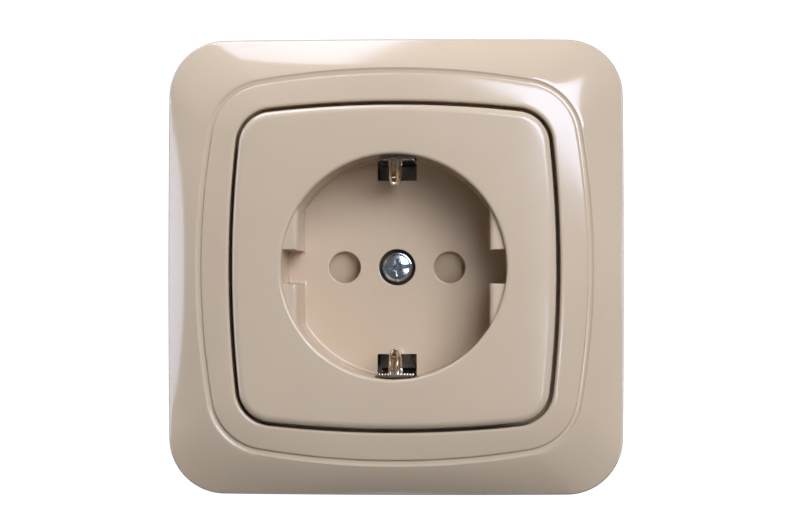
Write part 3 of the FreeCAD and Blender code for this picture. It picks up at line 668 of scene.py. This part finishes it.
def make_screw(node, body, slot, pitch, tilt):
    """A pan-head screw with a slot and a cross in its head, and a cut thread."""
    low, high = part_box(node)
    x = (low.x + high.x) / 2
    z = (low.z + high.z) / 2
    head = (high.x - low.x) / 2
    face = low.y
    back = face + HEAD_HEIGHT
    rim = head - HEAD_ROUND
    flat = rim - HEAD_BEVEL
    count = 48
    shares = (0.15, 0.35, 0.55, 0.75, 0.9, 1.0)
    profile = [(flat * share, face + HEAD_DOME * share**2) for share in shares]
    for along, drop in sweep(4):
        y = face + HEAD_DOME + 0.22 * MM + 0.3 * MM * drop
        profile.append((rim + HEAD_ROUND * along, y))
    profile.append((head, back - 0.15 * MM))
    profile.append((head - 0.15 * MM, back))
    profile.append((M3_CORE, back))
    profile.append((M3_CORE, back + 0.2 * MM))
    rings = [circle(radius, y, x, z, count) for radius, y in profile]
    rings += thread_rings(M3_RADIUS, back + 0.25 * MM, high.y - 0.55 * MM, pitch, x, z, count)
    rings.append(circle(M3_CORE, high.y - 0.5 * MM, x, z, count))
    rings.append(circle(M3_RADIUS - 0.6 * MM, high.y, x, z, count))
    obj = loft(node + "_piece", rings)
    cross = math.radians(tilt)
    bowl = [(1.15 * MM, face - 0.2 * MM), (1.0 * MM, face), (0.35 * MM, face + 1.3 * MM)]
    cutters = [
        drive_cutter(SLOT_HALF_LENGTH, 0.42 * MM, 0.75 * MM, face, cross, x, z),
        drive_cutter(1.6 * MM, 0.40 * MM, 1.15 * MM, face, cross + math.pi / 2, x, z),
        lathe("bowl", bowl, x, z, 32),
    ]
    for cutter in cutters:
        combine(obj, [cutter], "DIFFERENCE")
    return finish_piece(obj, body, MATERIALS[slot], [node], 14)


def oval_section(arc_y, arc_z, radius, angle, x, half_width, half_depth, upright):
    """A rounded section of a bar bent round a contact's bow."""
    ring = []
    middle = radius - half_depth
    for step in range(24):
        turn = 2 * math.pi * step / 24
        across = half_width * math.sin(turn)
        out = middle + half_depth * math.cos(turn)
        z = upright * (arc_z - out * math.cos(angle))
        ring.append(point(x + across, arc_y + out * math.sin(angle), z))
    return ring


def bow_bar(x, half_width, half_depth, start, end, upright):
    """A bar that follows part of the contact's bow, rounded off at its ends."""
    half_chord = (BOW_END - CONTACT_FRONT) / 2
    rise = CONTACT_LEAF - CONTACT_NOSE
    radius = (half_chord**2 + rise**2) / (2 * rise)
    arc_y = (BOW_END + CONTACT_FRONT) / 2
    arc_z = CONTACT_NOSE + radius
    steps = 40
    rings = []
    for step in range(steps + 1):
        share = (1 - math.cos(math.pi * step / steps)) / 2
        angle = math.radians(mix(start, end, share))
        from_tip = min(share, 1 - share) / 0.08
        close = math.sqrt(max(0.0, 1 - max(0.0, 1 - from_tip) ** 2))
        size = 0.25 + 0.75 * close
        width_here = half_width * size
        rings.append(oval_section(arc_y, arc_z, radius, angle, x, width_here, half_depth * size, upright))
    return loft("bow", rings)


def rod_along_x(name, x0, x1, y, z, radius, count=24):
    """A rod along X with chamfered ends."""
    chamfer = 0.1 * MM
    small = radius - chamfer
    rings = []
    for x, r in ((x0, small), (x0 + chamfer, radius), (x1 - chamfer, radius), (x1, small)):
        ring = []
        for step in range(count):
            angle = 2 * math.pi * step / count
            ring.append(point(x, y + r * math.sin(angle), z + r * math.cos(angle)))
        rings.append(ring)
    return loft(name, rings)


def upright_box(low, high, radius, upright):
    """A soft box of the upper contact, or its mirror image for the lower one."""
    z = sorted((upright * low[2], upright * high[2]))
    return soft_box("part", (low[0], low[1], z[0]), (high[0], high[1], z[1]), radius)


def make_earth_contact(name, upright):
    """A side contact: a forked bow with a round nose, on a leaf with a toothed edge, bead and heel."""
    obj = bow_bar(0.0, 1.05 * MM, 0.8 * MM, -8, 62, upright)
    obj.name = name + "_piece"
    leaf_in = CONTACT_LEAF + 0.2 * MM
    leaf_out = leaf_in + LEAF_THICK
    tab_low = (-1.1 * MM, 2.0 * MM, CONTACT_LEAF - 0.8 * MM)
    tab_high = (1.1 * MM, 5.4 * MM, leaf_in + 0.1 * MM)
    heel_low = (-HEEL_HALF, CONTACT_BACK - HEEL_HEIGHT, CONTACT_LEAF)
    heel_high = (HEEL_HALF, CONTACT_BACK, leaf_out)
    bead_z = upright * (CONTACT_LEAF + 0.4 * MM)
    parts = [
        bow_bar(-0.72 * MM, 0.30 * MM, 0.5 * MM, -72, 6, upright),
        bow_bar(0.62 * MM, 0.45 * MM, 0.5 * MM, -72, 6, upright),
        upright_box((-LEAF_HALF, MM, leaf_in), (LEAF_HALF, CONTACT_BACK, leaf_out), 0.1 * MM, upright),
        upright_box(tab_low, tab_high, 0.15 * MM, upright),
        upright_box(heel_low, heel_high, SMALL_ROUND, upright),
        rod_along_x("bead", -LEAF_HALF, LEAF_HALF, BEAD_Y, bead_z, BEAD_RADIUS),
    ]
    for step in (-6, -5, -4, -3, 3, 4, 5, 6):
        x = step * TOOTH_PITCH
        low = (x - TOOTH_HALF, 0.6 * MM, CONTACT_LEAF + 0.05 * MM)
        high = (x + TOOTH_HALF, 1.4 * MM, CONTACT_LEAF + 0.55 * MM)
        parts.append(upright_box(low, high, 0.06 * MM, upright))
    for part in parts:
        combine(obj, [part], "UNION")
    return finish_piece(obj, name, MATERIALS["nickel_contact"], [name])


def make_spring(side):
    """A shutter spring: an open coil whose end turns lie flat."""
    x = side * SPRING_X
    low = LUG_TOP + 0.05 * MM + SPRING_WIRE
    high = SPRING_TOP - 0.05 * MM - SPRING_WIRE
    flat_turns = 0.9
    flat_rise = 0.42 * MM  # how far a flat end turn climbs in one turn
    per_turn = 28
    around = 10
    rings = []
    for step in range(SPRING_TURNS * per_turn + 1):
        turn = step / per_turn
        angle = 2 * math.pi * turn
        share = min(max((turn - flat_turns) / (SPRING_TURNS - 2 * flat_turns), 0.0), 1.0)
        lower_end = low + min(turn, flat_turns) * flat_rise
        upper_end = high - min(SPRING_TURNS - turn, flat_turns) * flat_rise
        z = mix(lower_end, upper_end, share)
        outward = Vector((math.cos(angle), math.sin(angle), 0.0))
        centre = point(x, SPRING_Y, z) + outward * SPRING_RADIUS
        ring = []
        for i in range(around):
            lean = 2 * math.pi * i / around
            ring.append(centre + SPRING_WIRE * (outward * math.cos(lean) + point(0, 0, math.sin(lean))))
        rings.append(ring)
    name = "shutter_spring_" + ("left" if side < 0 else "right")
    obj = loft(name + "_coil", rings)
    finish_piece(obj, "cover", MATERIALS["spring_steel"], [name], 60)
    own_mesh(obj)
    return obj


def prism_along_x(name, points, x0, x1, radius):
    """A convex (y, z) outline extruded along X with its edges rounded."""
    rings = [[point(x, y, z) for y, z in points] for x in (x0, x1)]
    obj = loft(name, rings)
    work = bmesh.new()
    work.from_mesh(obj.data)
    bmesh.ops.bevel(work, geom=work.edges[:], offset=radius, segments=2, affect="EDGES", profile=0.5)
    work.to_mesh(obj.data)
    work.free()
    return obj


def make_shutter():
    """The sliding shutter: two ramped wings, a bridge above the screw and a lug for each spring."""
    front = SHUTTER_LOW.y
    back = SHUTTER_HIGH.y
    low = SHUTTER_LOW.z
    top = SHUTTER_HIGH.z
    profile = [(front, top), (back, top), (back, low), (back - RAMP_FOOT, low), (front, RAMP_TOP)]
    bridge_low = (-BRIDGE_HALF, front, BRIDGE_LOW)
    obj = soft_box("shutter_piece", bridge_low, (BRIDGE_HALF, back, top), SMALL_ROUND)
    parts = []
    for side in SIDES:
        wing = sorted((side * WING_INNER, side * WING_OUTER))
        parts.append(prism_along_x("wing", profile, *wing, SMALL_ROUND))
        lug = sorted((side * 13.0 * MM, side * (SPRING_X + 1.5 * MM)))
        lug_low = (lug[0], front + 0.6 * MM, low)
        parts.append(soft_box("lug", lug_low, (lug[1], back, LUG_TOP), SMALL_ROUND))
    for part in parts:
        combine(obj, [part], "UNION")
    return finish_piece(obj, "shutter", MATERIALS["shutter_plastic"], ["shutter"])


def make_retainer():
    """The disc that closes the shutter's space, riveted on four pegs."""
    edge = 0.15 * MM
    profile = [
        (RETAINER_RADIUS - edge, RETAINER_FRONT),
        (RETAINER_RADIUS, RETAINER_FRONT + edge),
        (RETAINER_RADIUS, RETAINER_BACK - edge),
        (RETAINER_RADIUS - edge, RETAINER_BACK),
    ]
    obj = lathe("retainer_piece", profile)
    above = RETAINER_FRONT - MM
    below = RETAINER_BACK + MM

    def hole(radius, x):
        shape = [
            (radius, above),
            (radius, RETAINER_BACK - edge),
            (radius + edge, RETAINER_BACK),
            (radius + edge, below),
        ]
        return lathe("hole", shape, x, 0.0, 48)

    cuts = [hole(RETAINER_BORE, 0.0)]
    for side in SIDES:
        cuts.append(hole(RETAINER_PIN_HOLE, side * PIN_X))
        for z in (-PEG_Z, PEG_Z):
            cuts.append(lathe("peg_hole", [(PEG_HOLE, above), (PEG_HOLE, below)], side * PEG_X, z, 32))
        window = sorted((side * RETAINER_WINDOW_FROM, side * 24.0 * MM))
        window_low = (-RETAINER_WINDOW, above, window[0])
        cuts.append(soft_box("window", window_low, (RETAINER_WINDOW, below, window[1])))
    combine(obj, cuts, "DIFFERENCE")
    slot = "retainer_plastic"
    return finish_piece(obj, "cover", MATERIALS[slot], ["shutter_retainer"])


def round_edges(node, width, angle=35):
    """Breaks the sharp edges of a carried-over CAD node."""
    weld = node.modifiers.new("weld", "WELD")
    weld.merge_threshold = 1e-6
    bevel = node.modifiers.new("edge_break", "BEVEL")
    bevel.width = width
    bevel.segments = 2
    bevel.limit_method = "ANGLE"
    bevel.angle_limit = math.radians(angle)
    bevel.use_clamp_overlap = True
    bevel.harden_normals = True


def nodes_of(material):
    material.use_nodes = True
    tree = material.node_tree
    return tree, tree.nodes["Principled BSDF"]


def add_noise(tree, scale, detail=3.0, roughness=0.5):
    coordinate = tree.nodes.new("ShaderNodeTexCoord")
    noise = tree.nodes.new("ShaderNodeTexNoise")
    noise.inputs["Scale"].default_value = scale
    noise.inputs["Detail"].default_value = detail
    noise.inputs["Roughness"].default_value = roughness
    tree.links.new(coordinate.outputs["Object"], noise.inputs["Vector"])
    return noise


def map_range(tree, source, low, high, start=0.3, end=0.7):
    node = tree.nodes.new("ShaderNodeMapRange")
    node.inputs["From Min"].default_value = start
    node.inputs["From Max"].default_value = end
    node.inputs["To Min"].default_value = low
    node.inputs["To Max"].default_value = high
    tree.links.new(source, node.inputs["Value"])
    return node.outputs["Result"]


def shade_between(tree, source, dark, light, start=0.3, end=0.7):
    ramp = tree.nodes.new("ShaderNodeValToRGB")
    ramp.color_ramp.elements[0].position = start
    ramp.color_ramp.elements[0].color = (*dark, 1)
    ramp.color_ramp.elements[1].position = end
    ramp.color_ramp.elements[1].color = (*light, 1)
    tree.links.new(source, ramp.inputs["Fac"])
    return ramp.outputs["Color"]


def add_bump(tree, shader, source, distance, strength=1.0):
    bump = tree.nodes.new("ShaderNodeBump")
    bump.inputs["Distance"].default_value = distance
    bump.inputs["Strength"].default_value = strength
    tree.links.new(source, bump.inputs["Height"])
    tree.links.new(bump.outputs["Normal"], shader.inputs["Normal"])


def plastic(name, colour, roughness, grain=0.0, grain_scale=4000.0, subsurface=0.06):
    """Moulded plastic: a faint cloud of colour, uneven gloss and a very fine surface ripple or grain."""
    material = bpy.data.materials.new(name)
    tree, shader = nodes_of(material)
    cloud = add_noise(tree, 45.0, 2.0)
    dark = tuple(c * 0.975 for c in colour)
    light = tuple(min(1.0, c * 1.02) for c in colour)
    tree.links.new(shade_between(tree, cloud.outputs["Fac"], dark, light), shader.inputs["Base Color"])
    gloss = add_noise(tree, 260.0, 4.0)
    rough = map_range(tree, gloss.outputs["Fac"], roughness * 0.88, roughness * 1.15)
    tree.links.new(rough, shader.inputs["Roughness"])
    shader.inputs["IOR"].default_value = 1.53
    shader.inputs["Subsurface Weight"].default_value = subsurface
    shader.inputs["Subsurface Radius"].default_value = (1.2, 0.8, 0.5)
    shader.inputs["Subsurface Scale"].default_value = 0.6 * MM
    texture = add_noise(tree, grain_scale if grain else 900.0, 2.0)
    add_bump(tree, shader, texture.outputs["Fac"], grain if grain else 0.0008 * MM)
    return material


def metal(name, colour, roughness, streak_scale=(300.0, 300.0, 3000.0), tarnish=None, bump=0.001 * MM):
    """Plated metal: stretched streaks in its gloss, soft patches of a second tone and fine scratches."""
    material = bpy.data.materials.new(name)
    tree, shader = nodes_of(material)
    shader.inputs["Metallic"].default_value = 1.0
    second = tarnish or tuple(c * 0.8 for c in colour)
    patches = add_noise(tree, 400.0, 3.0)
    tone = shade_between(tree, patches.outputs["Fac"], second, colour, 0.35, 0.62)
    tree.links.new(tone, shader.inputs["Base Color"])
    coordinate = tree.nodes.new("ShaderNodeTexCoord")
    mapping = tree.nodes.new("ShaderNodeMapping")
    mapping.inputs["Scale"].default_value = streak_scale
    streaks = tree.nodes.new("ShaderNodeTexNoise")
    streaks.inputs["Scale"].default_value = 1.0
    streaks.inputs["Detail"].default_value = 4.0
    tree.links.new(coordinate.outputs["Object"], mapping.inputs["Vector"])
    tree.links.new(mapping.outputs["Vector"], streaks.inputs["Vector"])
    rough = map_range(tree, streaks.outputs["Fac"], roughness * 0.7, roughness * 1.5)
    tree.links.new(rough, shader.inputs["Roughness"])
    add_bump(tree, shader, streaks.outputs["Fac"], bump)
    return material


def paint_screw_well_shade(material):
    """Painted shade: darkens the wall and floor round the cover screw's head, down in the counterbore."""
    tree, shader = nodes_of(material)
    colour = shader.inputs["Base Color"].links[0].from_socket
    coordinate = tree.nodes.new("ShaderNodeTexCoord")
    parts = tree.nodes.new("ShaderNodeSeparateXYZ")
    tree.links.new(coordinate.outputs["Object"], parts.inputs["Vector"])
    sideways = tree.nodes.new("ShaderNodeCombineXYZ")
    tree.links.new(parts.outputs["X"], sideways.inputs["X"])
    tree.links.new(parts.outputs["Z"], sideways.inputs["Z"])
    length = tree.nodes.new("ShaderNodeVectorMath")
    length.operation = "LENGTH"
    tree.links.new(sideways.outputs["Vector"], length.inputs[0])
    edge = COUNTERBORE + 0.1 * MM
    near = map_range(tree, length.outputs["Value"], 1.0, 0.0, edge, edge + 0.2 * MM)
    deep = map_range(tree, parts.outputs["Y"], 0.0, 1.0, FLOOR + 0.5 * MM, FLOOR + 1.3 * MM)
    both = tree.nodes.new("ShaderNodeMath")
    both.operation = "MULTIPLY"
    tree.links.new(near, both.inputs[0])
    tree.links.new(deep, both.inputs[1])
    blend = tree.nodes.new("ShaderNodeMixRGB")
    tree.links.new(both.outputs["Value"], blend.inputs["Fac"])
    tree.links.new(colour, blend.inputs["Color1"])
    blend.inputs["Color2"].default_value = (*SCREW_WELL_SHADE, 1)
    tree.links.new(blend.outputs["Color"], shader.inputs["Base Color"])


IVORY = (0.605, 0.447, 0.285)
# Colour of the painted shade down the counterbore round the cover screw's head.
SCREW_WELL_SHADE = (0.075, 0.052, 0.032)
TURNED = (900.0, 300.0, 900.0)  # gloss streaks round a screw
BRONZE_TONE = (0.62, 0.48, 0.32)
YELLOW_TONE = (0.62, 0.60, 0.52)
MATERIALS = {
    "ivory_frame": plastic("ivory_frame", IVORY, 0.13),
    "ivory_plate": plastic("ivory_plate", IVORY, 0.16),
    "shutter_plastic": plastic("shutter_plastic", (0.76, 0.55, 0.34), 0.32, 0.002 * MM, 3000.0),
    "retainer_plastic": plastic("retainer_plastic", (0.50, 0.44, 0.35), 0.42, 0.003 * MM, 2500.0),
    "base_plastic": plastic("base_plastic", (0.030, 0.030, 0.032), 0.42, 0.006 * MM, 2200.0, 0.0),
    "zinc_screw": metal("zinc_screw", (0.66, 0.67, 0.68), 0.15, TURNED),
    "spring_steel": metal("spring_steel", (0.55, 0.55, 0.55), 0.28),
    "zinc_steel": metal("zinc_steel", (0.66, 0.68, 0.70), 0.30, (250.0, 250.0, 60.0)),
    "rivet_brass": metal("rivet_brass", (0.78, 0.60, 0.28), 0.30),
    # Painted shade: the strap's metal is coloured almost black so that it reads as shade through the contact
    # windows.
    "plated_brass": metal("plated_brass", (0.20, 0.17, 0.13), 0.34, (1500.0, 200.0, 200.0)),
    "nickel_contact": metal("nickel_contact", (0.80, 0.72, 0.60), 0.18, (2500.0, 250.0, 600.0), BRONZE_TONE),
    "contact_brass": metal("contact_brass", (0.83, 0.66, 0.32), 0.26, (1200.0, 200.0, 200.0)),
    "claw_steel": metal("claw_steel", (0.60, 0.62, 0.64), 0.30, (200.0, 1500.0, 200.0)),
    "yellow_zinc": metal("yellow_zinc", (0.74, 0.66, 0.42), 0.24, TURNED, YELLOW_TONE),
    "clamp_steel": metal("clamp_steel", (0.62, 0.63, 0.64), 0.32),
    "terminal_zinc": metal("terminal_zinc", (0.70, 0.72, 0.75), 0.22, TURNED),
}

# Paints shade into the counterbore round the cover screw's head.
paint_screw_well_shade(MATERIALS["ivory_plate"])
make_frame(MATERIALS["ivory_frame"])
make_plate(MATERIALS["ivory_plate"])
make_screw("cover_screw", "cover_screw", "zinc_screw", M3_PITCH, COVER_SCREW_TILT)
for direction, hand in ((-1, "left"), (1, "right")):
    make_screw("claw_screw_" + hand, "claw_screw_" + hand, "yellow_zinc", M3_PITCH, CLAW_SCREW_TILT)
    make_spring(direction)
terminals = ["live_upper", "live_lower", "neutral_upper", "neutral_lower", "earth_left", "earth_right"]
for index, place in enumerate(terminals):
    node = place + "_screw"
    make_screw(node, node, "terminal_zinc", TERMINAL_PITCH, TERMINAL_SCREW_TILT * index)
make_earth_contact("earth_contact_top", 1)
make_earth_contact("earth_contact_bottom", -1)
make_shutter()
make_retainer()

for row in frame["record"]["subparts"]:
    node = frame["nodes"][row["node"]]
    if not node.hide_render:
        node.data.materials.clear()
        node.data.materials.append(MATERIALS[row["material_slot"]])
        round_edges(node, SMALL_ROUND)


COOL_WHITE = (0.915, 1.03, 1.33)


def area_light(name, place, size, power):
    """A soft light aimed at the outlet, unseen by the camera."""
    data = bpy.data.lights.new(name, "AREA")
    data.shape = "RECTANGLE"
    data.size, data.size_y = size
    data.energy = power
    data.color = COOL_WHITE
    obj = bpy.data.objects.new(name, data)
    obj.location = place
    obj.rotation_mode = "QUATERNION"
    obj.rotation_quaternion = (-Vector(place)).to_track_quat("-Z", "Y")
    obj.visible_camera = False
    bpy.context.scene.collection.objects.link(obj)


def pale(name, colour, glow):
    """An evenly pale stage surface with a very faint unevenness."""
    material = bpy.data.materials.new(name)
    tree, shader = nodes_of(material)
    noise = add_noise(tree, 6.0)
    darker = tuple(c * 0.985 for c in colour)
    tone = shade_between(tree, noise.outputs["Fac"], darker, colour)
    tree.links.new(tone, shader.inputs["Base Color"])
    tree.links.new(tone, shader.inputs["Emission Color"])
    shader.inputs["Emission Strength"].default_value = glow
    shader.inputs["Roughness"].default_value = 0.9
    return material


def for_camera_only(obj):
    """A stage surface that is seen but throws no light or reflection on the outlet."""
    obj.visible_diffuse = False
    obj.visible_glossy = False
    obj.visible_transmission = False
    obj.visible_shadow = False


def make_stage():
    """A pale floor well below the outlet inside a white dome."""
    floor_z = -0.30
    reach = 2.6
    ways = ((-1, -1), (1, -1), (1, 1), (-1, 1))
    corners = [point(reach * way_x, reach * way_y, floor_z) for way_x, way_y in ways]
    floor = mesh_object("floor", corners, [(0, 1, 2, 3)])
    floor.data.materials.append(pale("floor_pale", (0.97, 0.97, 0.965), 0.93))
    for_camera_only(floor)
    work = bmesh.new()
    bmesh.ops.create_uvsphere(work, u_segments=48, v_segments=24, radius=2.8)
    mesh = bpy.data.meshes.new("dome")
    work.to_mesh(mesh)
    work.free()
    dome = bpy.data.objects.new("dome", mesh)
    bpy.context.scene.collection.objects.link(dome)
    dome.data.materials.append(pale("dome_white", (0.99, 0.99, 0.99), 0.97))
    for_camera_only(dome)


def make_world():
    """Dim surroundings, a little brighter above than below."""
    world = bpy.data.worlds.new("studio")
    bpy.context.scene.world = world
    world.use_nodes = True
    tree = world.node_tree
    background = tree.nodes["Background"]
    coordinate = tree.nodes.new("ShaderNodeTexCoord")
    parts = tree.nodes.new("ShaderNodeSeparateXYZ")
    tree.links.new(coordinate.outputs["Generated"], parts.inputs["Vector"])
    height = map_range(tree, parts.outputs["Z"], 0.0, 1.0, -1.0, 1.0)
    tree.links.new(
        shade_between(tree, height, (0.105, 0.115, 0.135), (0.15, 0.165, 0.19), 0.25, 0.8),
        background.inputs["Color"],
    )


def make_lights():
    """A key from the upper right, a box above, lights behind the edges and a small card for the metal."""
    area_light("key", (0.23, -0.53, 0.235), (0.36, 0.36), 3.85)
    area_light("overhead_box", (-0.17, 0.02, 0.48), (0.40, 0.30), 2.1)
    area_light("left_side", (-0.50, 0.10, 0.05), (0.30, 0.50), 1.7)
    area_light("right_side", (0.50, 0.22, 0.0), (0.25, 0.50), 1.2)
    area_light("below", (0.0, 0.20, -0.50), (0.50, 0.20), 0.45)
    area_light("small_card", (0.13, -0.50, -0.045), (0.05, 0.05), 0.08)


def make_camera():
    """A long lens a little to the right of the outlet and level with it."""
    data = bpy.data.cameras.new("camera")
    data.lens = 108.4
    data.sensor_width = 36.0
    camera = bpy.data.objects.new("camera", data)
    place = Vector((0.017, -0.430, -0.003))
    target = Vector((0.00075, 0, 0.0002))
    camera.location = place
    camera.rotation_mode = "QUATERNION"
    camera.rotation_quaternion = (target - place).to_track_quat("-Z", "Y")
    bpy.context.scene.collection.objects.link(camera)
    bpy.context.scene.camera = camera


make_stage()
make_world()
make_lights()
make_camera()
bpy.context.scene.view_settings.view_transform = "Standard"
